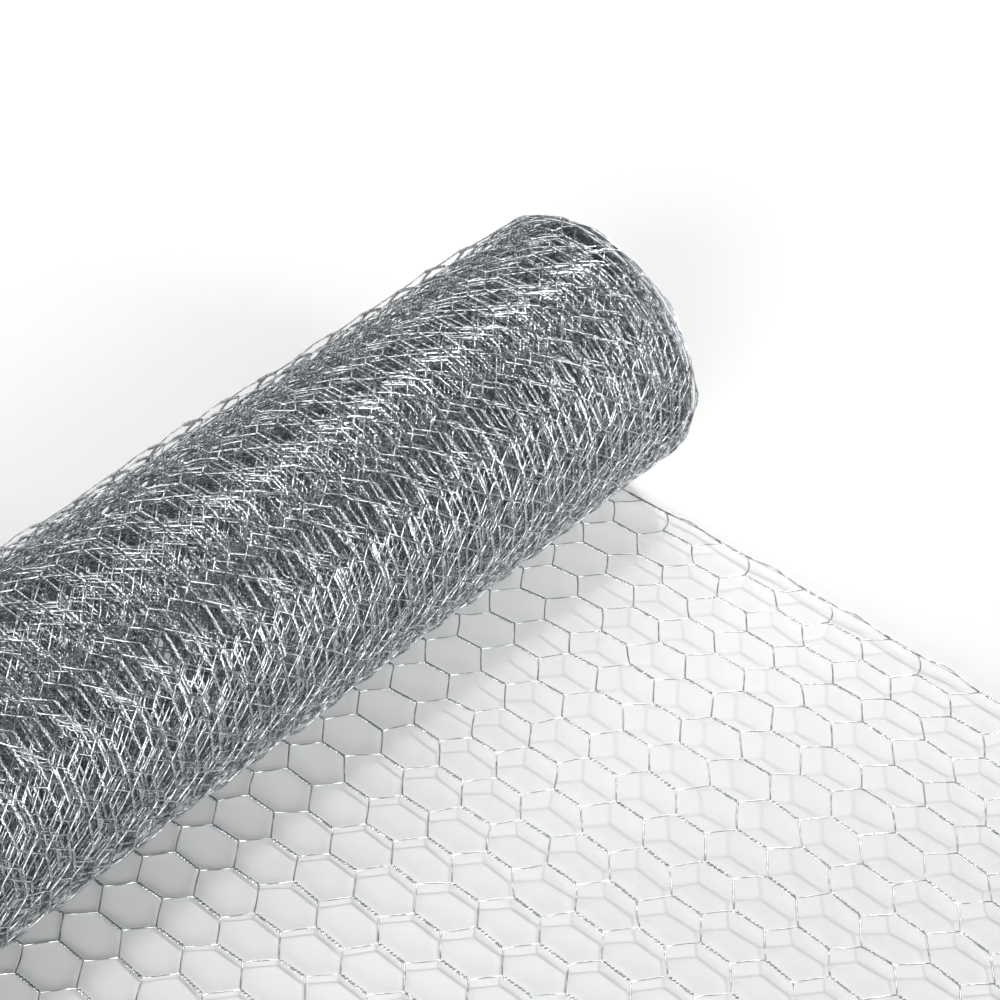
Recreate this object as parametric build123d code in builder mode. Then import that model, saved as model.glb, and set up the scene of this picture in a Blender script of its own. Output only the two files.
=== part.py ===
import os
from math import asin, cos, degrees, hypot, radians, sin, sqrt

from build123d import *

# A roll of galvanised hexagonal netting, lying on its side with its loose end drawn out.
# Millimetres. Z is up, the roll's axis runs along Y and the loose end runs towards +X.
# The origin is under the middle of the whole object, on the floor.

# the netting
mesh_width = 25.0          # across a hexagon, between its two twisted sides
mesh_count = 24            # hexagons from one edge to the other
twist_length = 18.6        # one twisted side, along the netting
single_reach = 9.8         # how far a single wire runs along the netting
wire_diameter = 0.8
twist_width = 2 * wire_diameter  # two wires twisted together, and the doubled edge

# the roll
roll_radius = 78.5
bore_radius = 25.0
ring_count = 6             # rings that show on each end, one for about eight turns
ring_depth = 2.5
turn_wander = 12.0         # how far the turns wander sideways past the netting's own width

# the loose end, as strips that meet at the middle of a row's twisted sides
seat_gap = 0.3             # between the netting and the roll where it leaves the roll
first_row = 63.3           # from the line where the roll touches the floor to a row of hexagons
strip_row_counts = [1, 4, 4, 5]  # rows from one cut to the next
rising_slopes = [0.0, 4.5, 1.0]  # degrees off the floor; the last strip comes back down to it

# worked out from the sizes above
row_pitch = twist_length + single_reach
single_length = hypot(single_reach, mesh_width / 2)
netting_width = mesh_count * mesh_width + twist_width
floor_z = 0.0

# the first strip starts where the roll's curve clears it by the seat gap
seat_height = twist_width + seat_gap
strip_start = sqrt(2 * roll_radius * seat_height - seat_height**2)

# each strip's run along the netting, its slope, its length on the floor and its rise
strip_runs = [first_row + strip_row_counts[0] * row_pitch - strip_start]
strip_runs += [rows * row_pitch for rows in strip_row_counts[1:]]
crest = sum(run * sin(radians(slope)) for run, slope in zip(strip_runs, rising_slopes))
strip_slopes = rising_slopes + [-degrees(asin(crest / strip_runs[-1]))]
floor_runs = [run * cos(radians(slope)) for run, slope in zip(strip_runs, strip_slopes)]
rises = [run * sin(radians(slope)) for run, slope in zip(strip_runs, strip_slopes)]

object_length = roll_radius + strip_start + sum(floor_runs)
contact_x = roll_radius - object_length / 2

# the hole of one hexagon, inside its wires
hole_tip = twist_length / 2 + single_reach - wire_diameter * single_length / mesh_width
hole_shoulder = twist_length / 2
hole_shoulder += (single_reach * twist_width - wire_diameter * single_length) / mesh_width
hole_half = (mesh_width - twist_width) / 2


def hole_reach(height):
    """Half the length of a hexagon's hole at a distance from its middle line."""
    return hole_tip - (hole_tip - hole_shoulder) * height / hole_half


def whole_hole():
    """Corners of the hole in a whole hexagon, about its centre."""
    return [
        (hole_tip, 0),
        (hole_shoulder, hole_half),
        (-hole_shoulder, hole_half),
        (-hole_tip, 0),
        (-hole_shoulder, -hole_half),
        (hole_shoulder, -hole_half),
    ]


def edge_hole(side):
    """Corners of the half hexagon against an edge wire, about a point on that edge."""
    near = twist_width / 2
    return [
        (hole_reach(near), -side * near),
        (hole_shoulder, -side * hole_half),
        (-hole_shoulder, -side * hole_half),
        (-hole_reach(near), -side * near),
    ]


# the roll: one turned solid with its bore, and its turns as rings on both ends
ring_pitch = (roll_radius - bore_radius) / ring_count
roll_end = netting_width / 2 + turn_wander
end_line = [(bore_radius, roll_end - ring_depth)]
for ring in range(ring_count):
    ring_start = bore_radius + ring * ring_pitch
    end_line.append((ring_start + ring_pitch / 2, roll_end))
    end_line.append((ring_start + ring_pitch, roll_end - ring_depth))
other_end = [(radius, -y) for radius, y in reversed(end_line)]

roll_plane = Plane(origin=(contact_x, 0, floor_z + roll_radius))
with BuildPart() as wound_roll:
    with BuildSketch(roll_plane):
        with BuildLine():
            Polyline(*end_line, *other_end, close=True)
        make_face()
    revolve(axis=Axis(roll_plane.origin, (0, 1, 0)))
wound_roll.part.label = "wound_roll"


def netting_strip(start_x, start_z, slope, run, first_centre, first_parity):
    """A strip of hexagonal netting, on a plane that rises along X, fused where wires meet.

    first_centre is where the first row of hexagons is centred, along the strip, and
    first_parity is 0 for a row of whole hexagons and 1 for one with a half at each edge.
    """
    rise_plane = Plane(
        origin=(start_x, 0, start_z),
        x_dir=(cos(radians(slope)), 0, sin(radians(slope))),
        z_dir=(-sin(radians(slope)), 0, cos(radians(slope))),
    )
    whole, upper_edge, lower_edge = [], [], []
    centre, parity = first_centre, first_parity
    while centre - row_pitch < run:
        count = mesh_count - parity
        for column in range(count):
            whole.append((centre, (column - (count - 1) / 2) * mesh_width))
        if parity:
            upper_edge.append((centre, mesh_count * mesh_width / 2))
            lower_edge.append((centre, -mesh_count * mesh_width / 2))
        centre += row_pitch
        parity = 1 - parity
    with BuildPart() as strip:
        with BuildSketch(rise_plane):
            with Locations((run / 2, 0)):
                Rectangle(run, netting_width)
            with Locations(*whole):
                Polygon(*whole_hole(), align=None, mode=Mode.SUBTRACT)
            if upper_edge:
                with Locations(*upper_edge):
                    Polygon(*edge_hole(1), align=None, mode=Mode.SUBTRACT)
                with Locations(*lower_edge):
                    Polygon(*edge_hole(-1), align=None, mode=Mode.SUBTRACT)
        extrude(amount=twist_width, dir=(0, 0, 1))
    return strip


# the loose end: strips from the roll outwards, each starting where the last one ends
loose_strips = []
start_x = contact_x + strip_start
start_z = floor_z
centre = first_row - row_pitch - strip_start
parity = 1
for number, run in enumerate(strip_runs):
    strip = netting_strip(start_x, start_z, strip_slopes[number], run, centre, parity)
    strip.part.label = f"loose_end_{number + 1}"
    loose_strips.append(strip)
    start_x += floor_runs[number]
    start_z += rises[number]
    rows_done = strip_row_counts[number] + (1 if number == 0 else 0)
    parity = (parity + rows_done) % 2
    centre = 0.0

os.makedirs("parts", exist_ok=True)
export_step(wound_roll.part, "parts/wound_roll.step")
for strip in loose_strips:
    export_step(strip.part, f"parts/{strip.part.label}.step")
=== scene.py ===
from math import cos, exp, pi, radians, sin, tau

import bpy
import numpy as np
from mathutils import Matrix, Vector


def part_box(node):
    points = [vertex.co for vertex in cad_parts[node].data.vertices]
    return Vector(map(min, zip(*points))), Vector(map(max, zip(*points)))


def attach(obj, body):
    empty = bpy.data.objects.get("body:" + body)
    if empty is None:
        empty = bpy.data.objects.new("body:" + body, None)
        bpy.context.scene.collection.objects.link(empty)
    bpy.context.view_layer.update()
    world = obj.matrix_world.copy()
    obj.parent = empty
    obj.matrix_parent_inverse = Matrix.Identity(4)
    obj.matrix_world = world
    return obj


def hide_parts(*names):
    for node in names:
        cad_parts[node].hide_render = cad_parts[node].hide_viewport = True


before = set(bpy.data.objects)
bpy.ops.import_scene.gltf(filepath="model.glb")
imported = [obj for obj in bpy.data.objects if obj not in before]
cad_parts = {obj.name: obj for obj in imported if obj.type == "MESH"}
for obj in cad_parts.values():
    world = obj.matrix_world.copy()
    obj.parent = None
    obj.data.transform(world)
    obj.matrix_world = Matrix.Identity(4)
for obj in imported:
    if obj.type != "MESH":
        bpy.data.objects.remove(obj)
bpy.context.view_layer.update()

# A roll of galvanised hexagonal netting with its loose end drawn out along the floor. Metres.
# The netting is one sheet. A place on it has an "along", the distance from the line where the
# roll touches the floor, which is positive on the loose end and negative in the roll, a "side",
# which is Y, and a "lift" off the sheet's own surface. Turns are counted inwards from that line.

# the netting: rows of twists, with row 0 the first one on the loose end
MESH_WIDTH = 0.025              # across a hexagon, between its two twists
COLUMN_PITCH = MESH_WIDTH / 2
TWIST_LENGTH = 0.0186
SINGLE_REACH = 0.0098           # how far a single wire runs along the netting
ROW_PITCH = TWIST_LENGTH + SINGLE_REACH
FIRST_ROW = 0.0633              # from the line where the roll touches the floor to row 0
LAST_ROW = 14                   # the loose end is cut through the middle of its twists
STOCK_LENGTH = 15.0

# the wire, and how far it lies from the middle line of what it is twisted into
WIRE_RADIUS = 0.0004
TWIST_TURNS = 4                 # whole turns in one twist
TWIST_COIL = 1.3 * WIRE_RADIUS  # in a twist of two wires of the net
WRAP_COIL = 1.5 * WIRE_RADIUS   # where a wire of the net wraps the two edge wires
EDGE_COIL = 1.2 * WIRE_RADIUS   # for the two edge wires themselves

# the roll and the loose end, from the frame
roll_low, roll_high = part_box("wound_roll")
flat_low, flat_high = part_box("loose_end_1")
last_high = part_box("loose_end_4")[1]
ROLL_RADIUS = (roll_high[2] - roll_low[2]) / 2
AXIS_X = (roll_high[0] + roll_low[0]) / 2
ROLL_OVERHANG = roll_high[1] - flat_high[1]
LOOSE_LENGTH = FIRST_ROW + LAST_ROW * ROW_PITCH
LOOSE_REACH = last_high[0] - AXIS_X
MESH_COUNT = int((flat_high[1] - flat_low[1]) / MESH_WIDTH)
COLUMNS = 2 * MESH_COUNT + 1    # places for a twist, from one edge to the other
EDGE_Y = MESH_COUNT * MESH_WIDTH / 2

# heights over the floor
SHEET_HEIGHT = 2 * WIRE_RADIUS  # of the sheet, where it rests on the floor
LOWEST_WIRE = 1.15 * WIRE_RADIUS  # the height that no wire's middle line goes under

# the wound turns: tight ones that rest on the floor, and outer ones that are slack on top
OUTER_SLACK = 0.0050
SLACK_TURNS = 1.0               # turns in which the slack shrinks to about a third
TOP_SLACK = OUTER_SLACK * exp(-0.5 / SLACK_TURNS)  # on top of the roll, half a turn in
TIGHT_RADIUS = ROLL_RADIUS - TOP_SLACK / 2 - WIRE_RADIUS
BORE_RADIUS = 0.025
TURN_COUNT = (STOCK_LENGTH - LOOSE_LENGTH) / (pi * (TIGHT_RADIUS + BORE_RADIUS))
TIGHTER_OUTSIDE = 1.15          # 1 is an even spiral, and above it the outer turns lie closer
TABLE_STEPS = 8000              # steps from the outermost turn to the bore, to measure by

# how the wound netting has slipped sideways: to one side outside, and to the other one deep inside
SLIP_TURNS = 0.9                # turns in which the outermost one slips by the roll's overhang
SLIP_BACK_FROM = 12
SLIP_BACK_OVER = 30
RING_DEPTH = 0.0016             # rings that the turns form on the roll's ends
RING_START = 0.8
RING_TURNS = 8.5
EDGE_HOLD = 6                   # a higher power lets the slow waves come nearer to the edges

# slow waves in the wound netting: how high, how many to a metre of side, how many to a turn, and
# their start in radians
SLACK_WAVES = ((0.15, 6.3, 2.1, 0.0), (0.10, 14.1, -3.3, 0.0))      # as a share of the slack
SLIP_WAVES = ((0.0030, 1.1, 0.19, 0.0), (0.0018, -0.7, 0.43, 0.0))  # sideways
SWELL_WAVES = ((0.0005, 3.1, 2.3, 0.0), (0.0005, -5.3, 3.7, 1.0))   # outwards
SWELL_START = 0.25              # turns in which the swells grow to their full height
SWELL_TURNS = 3                 # turns in which they shrink to about a third

# the loose end's arch: how high it stands, where along its width, and where it leaves the floor
LOW_CREST = 0.003
HIGH_CREST = 0.012
CREST_SIDE = 0.180
CREST_WIDTH = 0.109
NEAR_START = 0.034
FAR_START = 0.018
START_SHIFT_FROM = -0.05        # the side where the start begins to move from near to far
START_SHIFT_OVER = 0.30
LANDING = 0.020                 # how much of the cut end lies flat on the floor
ARCH_LEAN = 0.9                 # under 1, the arch is highest nearer to the roll

# how uneven the netting is
CORNER_JITTER = 0.0005
LIFT_JITTER = 0.7               # a corner's jitter off the sheet, as a share of that in the sheet
SINGLE_BOW = 0.00025
EDGE_BOW = 0.0018
EDGE_BOW_SPREAD = (0.4, 1.6)
OUTER_STRAND_BOW = 1.25         # the second edge wire's bow, as a share of the first one's
EDGE_PULL = 0.0022              # how far towards the roll the twists next to an edge start
EDGE_PULL_SIDE = 0.3            # how far they lean sideways, as a share of that
EDGE_TUG = 0.002                # how far the single wires that leave an edge bow along it
RANDOM = np.random.default_rng(7)


def waves(table, turn, side):
    """Slow waves that run along and across the wound netting, added up."""
    return sum(
        height * np.sin(tau * (side * per_metre + turn * per_turn) + start)
        for height, per_metre, per_turn, start in table
    )


def slack(turn, side):
    """How far the outermost turns stand off the tight ones: most on top and none on the floor."""
    on_top = OUTER_SLACK * np.exp(-turn / SLACK_TURNS) * np.sin(pi * turn) ** 2
    return on_top * (1 + waves(SLACK_WAVES, turn, side))


def wound_radius(turn):
    """How far a tight turn lies from the axis. The outer turns lie closer together."""
    return TIGHT_RADIUS - (TIGHT_RADIUS - BORE_RADIUS) * (turn / TURN_COUNT) ** TIGHTER_OUTSIDE


def turn_table():
    """Turns inwards, and the length of netting wound by then."""
    turns = np.linspace(0, TURN_COUNT, TABLE_STEPS)
    radii = wound_radius(turns) + slack(turns, 0 * turns)
    steps = np.diff(turns) * tau * (radii[1:] + radii[:-1]) / 2
    return turns, np.concatenate([[0], np.cumsum(steps)])


TURNS, WOUND = turn_table()


def arch_height(along, side):
    """How far the loose end stands off the floor: low on the near side, in an arch on the far side."""
    crest = LOW_CREST + HIGH_CREST * np.exp(-(((side - CREST_SIDE) / CREST_WIDTH) ** 2))
    shift = np.clip((side - START_SHIFT_FROM) / START_SHIFT_OVER, 0, 1)
    start = NEAR_START + (FAR_START - NEAR_START) * shift
    share = np.clip((along - start) / (LOOSE_LENGTH - LANDING - start), 0, 1)
    return crest * np.sin(pi * share**ARCH_LEAN)


def wander(turn, side):
    """How far the wound netting has slipped sideways, as a whole and between its edges."""
    slipped = np.sin(pi / 2 * np.clip(turn / SLIP_TURNS, 0, 1))
    deep = np.clip((turn - SLIP_BACK_FROM) / SLIP_BACK_OVER, 0, 1)
    whole = ROLL_OVERHANG * slipped * np.cos(pi * deep)
    rings = -RING_DEPTH / 2 * (1 - np.cos(tau * np.maximum(turn - RING_START, 0) / RING_TURNS))
    inside = 1 - np.clip(np.abs(side) / EDGE_Y, 0, 1) ** EDGE_HOLD
    return whole + rings + waves(SLIP_WAVES, turn, side) * inside * np.clip(turn, 0, 1)


def bulge(turn, side):
    """Slow swells of the outer turns, which die away inwards."""
    return waves(SWELL_WAVES, turn, side) * np.exp(-turn / SWELL_TURNS) * np.clip(turn / SWELL_START, 0, 1)


def place(along, side, lift):
    """Points of the netting and the directions that stand off it, for arrays of along, side and lift."""
    on_floor = along >= 0
    floor_share = np.clip(along / LOOSE_LENGTH, 0, 1)
    floor_x = AXIS_X + along * (1 - (1 - LOOSE_REACH / LOOSE_LENGTH) * floor_share)
    floor_z = SHEET_HEIGHT + arch_height(np.maximum(along, 0), side) + lift

    turn = np.interp(np.maximum(-along, 0), WOUND, TURNS)
    angle = tau * turn
    radius = wound_radius(turn) + slack(turn, side) + bulge(turn, side) + lift
    roll_x = AXIS_X - radius * np.sin(angle)
    roll_z = SHEET_HEIGHT + TIGHT_RADIUS - radius * np.cos(angle)
    roll_y = side + wander(turn, side)

    x = np.where(on_floor, floor_x, roll_x)
    y = np.where(on_floor, side, roll_y)
    z = np.maximum(np.where(on_floor, floor_z, roll_z), LOWEST_WIRE)
    off_x = np.where(on_floor, 0, -np.sin(angle))
    off_z = np.where(on_floor, 1, -np.cos(angle))
    return np.stack([x, y, z], axis=-1), np.stack([off_x, np.zeros_like(x), off_z], axis=-1)


# random draws for each row: of both ends of a twist, of a single wire, and of the edge wires
FIRST_WOUND_ROW = -int((STOCK_LENGTH - LOOSE_LENGTH + FIRST_ROW) / ROW_PITCH)
ROW_COUNT = LAST_ROW + 1 - FIRST_WOUND_ROW
JITTER = RANDOM.normal(0, CORNER_JITTER, (ROW_COUNT, COLUMNS, 2, 3)) * np.array([1.0, 1.0, LIFT_JITTER])
BOW = RANDOM.normal(0, SINGLE_BOW, (ROW_COUNT, COLUMNS, 3))
EDGE_BOWS = EDGE_BOW * RANDOM.uniform(*EDGE_BOW_SPREAD, (ROW_COUNT, 2, 2))


def net_wires(first, last, per_turn, per_single, across):
    """Lines of the net's wires from one row to another, as arrays of along, side and lift.

    Each wire twists with its neighbour on one side, crosses over, and twists with the next.
    The cut across the loose end runs through the middle of the last row's twists. Deep in the
    roll only the wires within across of an edge are there, since nothing shows the rest.
    """
    wires = np.arange(COLUMNS - 1)
    wires = wires[np.minimum(wires, COLUMNS - 2 - wires) < across][:, None, None]
    rows = np.arange(first, last + 1)[None, :, None]
    index = rows - FIRST_WOUND_ROW
    column = wires + (wires + rows) % 2
    facing = np.where(column == wires, 1.0, -1.0)
    at_edge = (column == 0) | (column == COLUMNS - 1)
    coil = np.where(at_edge, WRAP_COIL, TWIST_COIL)
    pull = np.where((column == 1) | (column == COLUMNS - 2), -EDGE_PULL, 0.0)

    steps = max(1, TWIST_TURNS * per_turn)
    share = np.linspace(0, 1, steps + 1)[None, None, :]
    turn = tau * TWIST_TURNS * share if per_turn else np.zeros_like(share)
    start = JITTER[index, column, 0] + np.stack([pull, pull * EDGE_PULL_SIDE, 0 * pull], axis=-1)
    end = JITTER[index, column, 1]
    jitter = start * (1 - share[..., None]) + end * share[..., None]
    jitter = np.where(at_edge[..., None], 0.0, jitter)
    along = FIRST_ROW + rows * ROW_PITCH + (share - 0.5) * TWIST_LENGTH + jitter[..., 0]
    side = (column * COLUMN_PITCH - EDGE_Y) + facing * coil * np.cos(turn) + jitter[..., 1]
    lift = facing * coil * np.sin(turn) + jitter[..., 2]

    cross = np.linspace(0, 1, per_single + 1)[1:-1][None, None, :]
    bow = 4 * cross * (1 - cross)
    tugged = np.where(at_edge[:, :-1], EDGE_TUG, 0.0)

    lines = []
    for part, values in enumerate((along, side, lift)):
        values = np.broadcast_to(values, (len(wires), rows.shape[1], steps + 1))
        bent = BOW[index[:, :-1], wires][..., part] + (tugged if part == 0 else 0)
        singles = values[:, :-1, -1:] * (1 - cross) + values[:, 1:, :1] * cross + bent * bow
        woven = np.concatenate([values[:, :-1], singles], axis=2).reshape(len(wires), -1)
        lines.append(np.concatenate([woven, values[:, -1]], axis=1))
    kept = lines[0].shape[1] - (steps // 2 if last == LAST_ROW else 0)
    return [line[:, :kept] for line in lines]


def edge_wires(first, last, per_turn, per_gap):
    """Lines of the two wires along each edge: roped where the net wraps them, and slack between.

    Both wires of an edge follow the first one's draw, so that they stay side by side.
    """
    gap_length = 2 * ROW_PITCH - TWIST_LENGTH
    lines = [[], [], []]
    for edge, outwards in ((0, -1.0), (1, 1.0)):
        for strand in (0, 1):
            along, angle, bowed = [], [], []
            for row in range(first, last + 1):
                middle = FIRST_ROW + row * ROW_PITCH
                if row % 2 == 0:
                    share = np.linspace(0, 1, TWIST_TURNS * per_turn + 1)
                    along.append(middle + (share - 0.5) * TWIST_LENGTH)
                    angle.append(tau * TWIST_TURNS * share)
                    bowed.append(np.zeros_like(share))
                else:
                    share = np.linspace(0, 1, per_gap + 2)[1:-1]
                    reach = EDGE_BOWS[row - FIRST_WOUND_ROW, edge, 0]
                    reach = reach * (OUTER_STRAND_BOW if strand else 1)
                    along.append(middle + (share - 0.5) * gap_length)
                    angle.append(tau * share)
                    bowed.append(reach * np.sin(pi * share) ** 2)
            along, angle, bowed = (np.concatenate(part) for part in (along, angle, bowed))
            angle = angle + (pi if outwards > 0 else 0) + (tau / 3 if strand else -tau / 3)
            lines[0].append(along)
            lines[1].append(outwards * EDGE_Y + outwards * bowed + EDGE_COIL * np.cos(angle))
            lines[2].append(EDGE_COIL * np.sin(angle))
    kept = len(lines[0][0]) - (TWIST_TURNS * per_turn // 2 if last == LAST_ROW else 0)
    return [np.array(line)[:, :kept] for line in lines]


def tubes(name, lines, sides):
    """A mesh of closed tubes along lines of netting, with few sides, as wide as the wire on average."""
    points, off = place(*lines)
    run = np.gradient(points, axis=1)
    run /= np.linalg.norm(run, axis=-1, keepdims=True)
    across = np.cross(run, off)
    across /= np.linalg.norm(across, axis=-1, keepdims=True)
    off = np.cross(across, run)
    turns = np.arange(sides) * tau / sides
    ring = off[:, :, None] * np.cos(turns)[:, None] + across[:, :, None] * np.sin(turns)[:, None]
    reach = WIRE_RADIUS * pi / (sides * sin(pi / sides))
    vertices = points[:, :, None] + ring * reach
    count, length = points.shape[:2]

    numbers = np.arange(count * length * sides).reshape(count, length, sides)
    after = np.roll(numbers, -1, axis=2)
    quads = np.stack([numbers[:, :-1], after[:, :-1], after[:, 1:], numbers[:, 1:]], axis=-1)
    quads = quads.reshape(-1, 4)
    caps = np.concatenate([numbers[:, 0, ::-1], numbers[:, -1]])
    corners = np.concatenate([quads.ravel(), caps.ravel()])
    starts = np.concatenate([np.arange(len(quads)) * 4, quads.size + np.arange(len(caps)) * sides])

    mesh = bpy.data.meshes.new(name)
    mesh.vertices.add(numbers.size)
    mesh.vertices.foreach_set("co", vertices.astype(np.float32).ravel())
    mesh.loops.add(len(corners))
    mesh.loops.foreach_set("vertex_index", corners.astype(np.int32))
    mesh.polygons.add(len(starts))
    mesh.polygons.foreach_set("loop_start", starts.astype(np.int32))
    mesh.polygons.foreach_set("use_smooth", np.ones(len(starts), dtype=bool))
    mesh.update(calc_edges=True)
    mesh.validate()
    piece = bpy.data.objects.new(name, mesh)
    bpy.context.scene.collection.objects.link(piece)
    return piece


def joined(name, parts):
    """One piece of several."""
    with bpy.context.temp_override(active_object=parts[0], selected_editable_objects=parts):
        bpy.ops.object.join()
    parts[0].name = name
    return parts[0]


# points of an edge wire between two wraps, where the twists have their turns and where they don't
EDGE_POINTS = 5
STRAIGHT_EDGE_POINTS = 2


def netting(name, first, last, per_turn, per_single, sides, across):
    """One piece of netting, from one row to another."""
    net = tubes(name, net_wires(first, last, per_turn, per_single, across), sides)
    per_gap = EDGE_POINTS if per_turn else STRAIGHT_EDGE_POINTS
    edges = tubes(name + "_edges", edge_wires(first, last, max(1, per_turn), per_gap), sides)
    return joined(name, [net, edges])


def linear(hex_colour):
    """An sRGB hex colour as linear red, green, blue and alpha."""
    parts = [int(hex_colour[i:i + 2], 16) / 255 for i in (1, 3, 5)]
    return [p / 12.92 if p <= 0.04045 else ((p + 0.055) / 1.055) ** 2.4 for p in parts] + [1.0]


def add_node(tree, kind, links=(), **settings):
    """A node with its settings; links is (input, output socket) pairs."""
    node = tree.nodes.new(kind)
    for key, value in settings.items():
        if key in node.inputs:
            node.inputs[key].default_value = value
        else:
            setattr(node, key, value)
    for socket, output in links:
        tree.links.new(output, node.inputs[socket])
    return node


# the zinc on the wire, in stretches of about 3.3 mm
ZINC_STRETCH = 0.010 / 3
ZINC_DETAIL = 3.0
DULL_ZINC = "#A0A8AE"
DULL_UNDER = 0.36
DULL_ROUGHNESS = 0.32
BRIGHT_ZINC = "#F4F6F8"
BRIGHT_OVER = 0.62
BRIGHT_ROUGHNESS = 0.16


def galvanised_wire():
    """Steel wire netting that was dipped in molten zinc, which sets thicker here and thinner there.

    To the eye it is a cool, dull grey in one stretch, and bright with a soft shine in the next.
    """
    material = bpy.data.materials.new("hot_dip_galvanised_wire")
    material.use_nodes = True
    tree = material.node_tree
    shader = tree.nodes["Principled BSDF"]
    shader.inputs["Metallic"].default_value = 1.0
    spot = add_node(tree, "ShaderNodeTexCoord").outputs["Object"]
    zinc_noise = add_node(
        tree, "ShaderNodeTexNoise", [("Vector", spot)], Scale=1 / ZINC_STRETCH, Detail=ZINC_DETAIL
    ).outputs["Fac"]
    tone = add_node(tree, "ShaderNodeValToRGB", [("Fac", zinc_noise)])
    dull, bright = tone.color_ramp.elements
    dull.position = DULL_UNDER
    dull.color = linear(DULL_ZINC)
    bright.position = BRIGHT_OVER
    bright.color = linear(BRIGHT_ZINC)
    tree.links.new(tone.outputs["Color"], shader.inputs["Base Color"])
    gloss = add_node(tree, "ShaderNodeMapRange", [("Value", zinc_noise)])
    gloss.inputs["From Min"].default_value = DULL_UNDER
    gloss.inputs["From Max"].default_value = BRIGHT_OVER
    gloss.inputs["To Min"].default_value = DULL_ROUGHNESS
    gloss.inputs["To Max"].default_value = BRIGHT_ROUGHNESS
    tree.links.new(gloss.outputs["Result"], shader.inputs["Roughness"])
    return material


# the pieces, and the turns from the outside at which one ends and the next begins
PIECE_TURNS = (2, 4, 8, 12, 25)
piece_rows = [-round((np.interp(turn, TURNS, WOUND) + FIRST_ROW) / ROW_PITCH) for turn in PIECE_TURNS]
LIFT_OFF_ROW = -3               # the last row of the loose end's piece, just inside the roll
BORE_ROWS = 12                  # rows round the bore, with every wire in them
bore_row = FIRST_WOUND_ROW + BORE_ROWS
DEEP_WIRES = 9                  # wires in from each edge that are there deep in the roll

# each has its first and last row, points to a turn of a twist and steps to a single wire, fewer
# the deeper it lies, sides round the wire, and wires in from each edge that are there
PIECES = [
    ("loose_end", LIFT_OFF_ROW, LAST_ROW, 4, 3, 4, COLUMNS),
    ("outer_turns", piece_rows[0], LIFT_OFF_ROW, 4, 2, 3, COLUMNS),
    ("third_and_fourth_turns", piece_rows[1], piece_rows[0], 3, 2, 3, COLUMNS),
    ("fifth_to_eighth_turns", piece_rows[2], piece_rows[1], 2, 1, 3, COLUMNS),
    ("ninth_to_twelfth_turns", piece_rows[3], piece_rows[2], 2, 1, 3, COLUMNS),
    ("middle_turns", piece_rows[4], piece_rows[3], 0, 1, 3, COLUMNS),
    ("inner_turns", bore_row, piece_rows[4], 0, 1, 3, DEEP_WIRES),
    ("bore_turns", FIRST_WOUND_ROW, bore_row, 0, 1, 3, COLUMNS),
]
zinc = galvanised_wire()
for name, first, last, per_turn, per_single, sides, across in PIECES:
    piece = netting(name, first, last, per_turn, per_single, sides, across)
    piece.data.materials.append(zinc)
    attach(piece, "root")
    if name == "loose_end":
        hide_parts("loose_end_1", "loose_end_2", "loose_end_3", "loose_end_4")
    else:
        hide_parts("wound_roll")

# the camera, from the fit to the photograph
LENS_PX = 2766.0
IMAGE_PX = 1000.0
SENSOR_MM = 36.0
CAMERA_FROM_AXIS = 0.7770
CAMERA_SIDE = -0.6035
CAMERA_HEIGHT = 1.0168
CAMERA_TOWARDS = radians(132.57)
CAMERA_DOWN = radians(41.29)
camera_data = bpy.data.cameras.new("camera")
camera_data.sensor_width = SENSOR_MM
camera_data.lens = LENS_PX / IMAGE_PX * SENSOR_MM
camera = bpy.data.objects.new("camera", camera_data)
bpy.context.scene.collection.objects.link(camera)
camera.location = (AXIS_X + CAMERA_FROM_AXIS, CAMERA_SIDE, CAMERA_HEIGHT)
camera.rotation_euler = (pi / 2 - CAMERA_DOWN, 0, CAMERA_TOWARDS - pi / 2)
bpy.context.scene.camera = camera

# the floor: white paper, whose glow grows along the way that the camera looks
AWAY = Vector((cos(CAMERA_TOWARDS), sin(CAMERA_TOWARDS), 0))
PAPER_COLOUR = "#E3E3E2"
PAPER_START = -0.080            # along that way from the middle of the roll, where it starts to grow
PAPER_END = 0.200
PAPER_GLOW_NEAR = 0.04
PAPER_GLOW_FAR = 0.27
FLOOR_SIZE = 60.0


def seen_by_camera_and_metal(tree):
    """1 for what the camera sees straight, in a reflection or through glass, and 0 for other light."""
    rays = add_node(tree, "ShaderNodeLightPath").outputs
    both = [(0, rays["Is Glossy Ray"]), (1, rays["Is Transmission Ray"])]
    indirect = add_node(tree, "ShaderNodeMath", both, operation="MAXIMUM")
    both = [(0, rays["Is Camera Ray"]), (1, indirect.outputs[0])]
    return add_node(tree, "ShaderNodeMath", both, operation="MAXIMUM").outputs[0]


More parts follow.
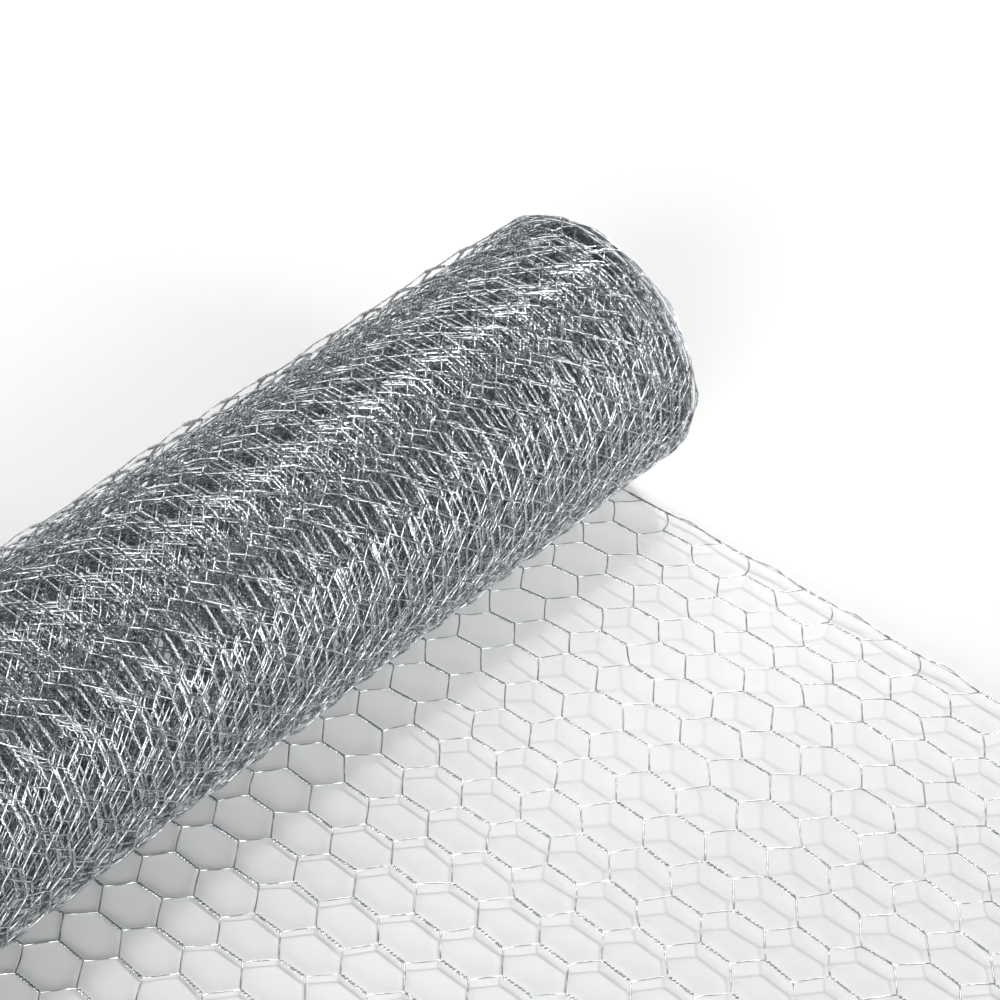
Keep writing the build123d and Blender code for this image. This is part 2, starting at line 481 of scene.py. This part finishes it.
def white_paper():
    """Matt uncoated white paper: to the eye an even soft white with no shine.

    Only the camera and reflections see its glow, which brings it up to pure white behind the roll.
    """
    material = bpy.data.materials.new("matt_white_paper")
    material.use_nodes = True
    tree = material.node_tree
    tree.nodes.clear()
    matt = add_node(tree, "ShaderNodeBsdfDiffuse", Color=linear(PAPER_COLOUR)).outputs[0]
    spot = add_node(tree, "ShaderNodeTexCoord").outputs["Object"]
    away = add_node(tree, "ShaderNodeVectorMath", [(0, spot)], operation="DOT_PRODUCT")
    away.inputs[1].default_value = AWAY
    growth = add_node(tree, "ShaderNodeMapRange", [("Value", away.outputs["Value"])])
    growth.inputs["From Min"].default_value = PAPER_START + AXIS_X * AWAY.x
    growth.inputs["From Max"].default_value = PAPER_END + AXIS_X * AWAY.x
    growth.inputs["To Min"].default_value = PAPER_GLOW_NEAR
    growth.inputs["To Max"].default_value = PAPER_GLOW_FAR
    glow = add_node(tree, "ShaderNodeEmission", [("Strength", growth.outputs["Result"])])
    glowing = add_node(tree, "ShaderNodeAddShader", [(0, matt), (1, glow.outputs[0])])
    mixed = [(0, seen_by_camera_and_metal(tree)), (1, matt), (2, glowing.outputs[0])]
    paper = add_node(tree, "ShaderNodeMixShader", mixed)
    add_node(tree, "ShaderNodeOutputMaterial", [("Surface", paper.outputs[0])])
    return material


def paper_floor():
    """The floor, one flat sheet of paper."""
    half = FLOOR_SIZE / 2
    corners = [(-half, -half, 0), (half, -half, 0), (half, half, 0), (-half, half, 0)]
    mesh = bpy.data.meshes.new("floor")
    mesh.from_pydata(corners, [], [(0, 1, 2, 3)])
    mesh.materials.append(white_paper())
    sheet = bpy.data.objects.new("floor", mesh)
    bpy.context.scene.collection.objects.link(sheet)
    return sheet


floor = paper_floor()

# the room: dim, with a white backdrop that reaches up behind the roll and fades at its sides and top
ROOM_LIGHT = 0.06
BACKDROP_LIGHT = 0.9
BACKDROP_SIDE_ENDS = -0.1       # measured along the way that the camera looks
BACKDROP_SIDE_FULL = 0.3
BACKDROP_TOP_ENDS = 0.45        # measured upwards
BACKDROP_TOP_FULL = 0.2


def studio_room():
    """A dim room, which the camera sees as white all round, and metal sees with the backdrop behind."""
    world = bpy.data.worlds.new("studio")
    world.use_nodes = True
    tree = world.node_tree
    look = add_node(tree, "ShaderNodeTexCoord").outputs["Generated"]
    facing = add_node(tree, "ShaderNodeVectorMath", [(0, look)], operation="DOT_PRODUCT")
    facing.inputs[1].default_value = AWAY
    sideways = add_node(tree, "ShaderNodeMapRange", [("Value", facing.outputs["Value"])])
    sideways.interpolation_type = "SMOOTHSTEP"
    sideways.inputs["From Min"].default_value = BACKDROP_SIDE_ENDS
    sideways.inputs["From Max"].default_value = BACKDROP_SIDE_FULL
    sideways.inputs["To Max"].default_value = BACKDROP_LIGHT
    height = add_node(tree, "ShaderNodeSeparateXYZ", [(0, look)]).outputs["Z"]
    upwards = add_node(tree, "ShaderNodeMapRange", [("Value", height)])
    upwards.interpolation_type = "SMOOTHSTEP"
    upwards.inputs["From Min"].default_value = BACKDROP_TOP_ENDS
    upwards.inputs["From Max"].default_value = BACKDROP_TOP_FULL
    both = [(0, sideways.outputs["Result"]), (1, upwards.outputs["Result"])]
    backdrop = add_node(tree, "ShaderNodeMath", both, operation="MULTIPLY")
    both = [(0, backdrop.outputs[0]), (1, seen_by_camera_and_metal(tree))]
    behind = add_node(tree, "ShaderNodeMath", both, operation="MULTIPLY")
    camera_ray = add_node(tree, "ShaderNodeLightPath").outputs["Is Camera Ray"]
    all_round = add_node(tree, "ShaderNodeMath", [(0, camera_ray)], operation="MULTIPLY_ADD")
    all_round.inputs[1].default_value = BACKDROP_LIGHT
    all_round.inputs[2].default_value = ROOM_LIGHT
    both = [(0, behind.outputs[0]), (1, all_round.outputs[0])]
    shown = add_node(tree, "ShaderNodeMath", both, operation="MAXIMUM")
    background = tree.nodes["Background"]
    background.inputs["Color"].default_value = linear("#FFFFFF")
    tree.links.new(shown.outputs[0], background.inputs["Strength"])
    return world


bpy.context.scene.world = studio_room()

# the lamps: how light each makes a level white card, where 1 is white, how wide the lamp looks in
# radians, and which way its light goes
LAMPS = [
    ("overhead_lamp", 0.24, 0.15, (0.065, -0.44, -1.0)),
    ("high_back_box", 0.29, radians(42), (0.420, -0.242, -0.875)),
    ("left_soft_box", 0.26, radians(34), (-0.350, 0.866, -0.358)),
    ("right_soft_box", 0.22, radians(34), (-0.940, -0.016, -0.342)),
]
for name, level, spread, towards in LAMPS:
    direction = Vector(towards).normalized()
    lamp_data = bpy.data.lights.new(name, "SUN")
    lamp_data.energy = level * pi / -direction.z
    lamp_data.angle = spread
    lamp = bpy.data.objects.new(name, lamp_data)
    lamp.rotation_euler = direction.to_track_quat("-Z", "Y").to_euler()
    bpy.context.scene.collection.objects.link(lamp)

bpy.context.scene.view_settings.view_transform = "Standard"
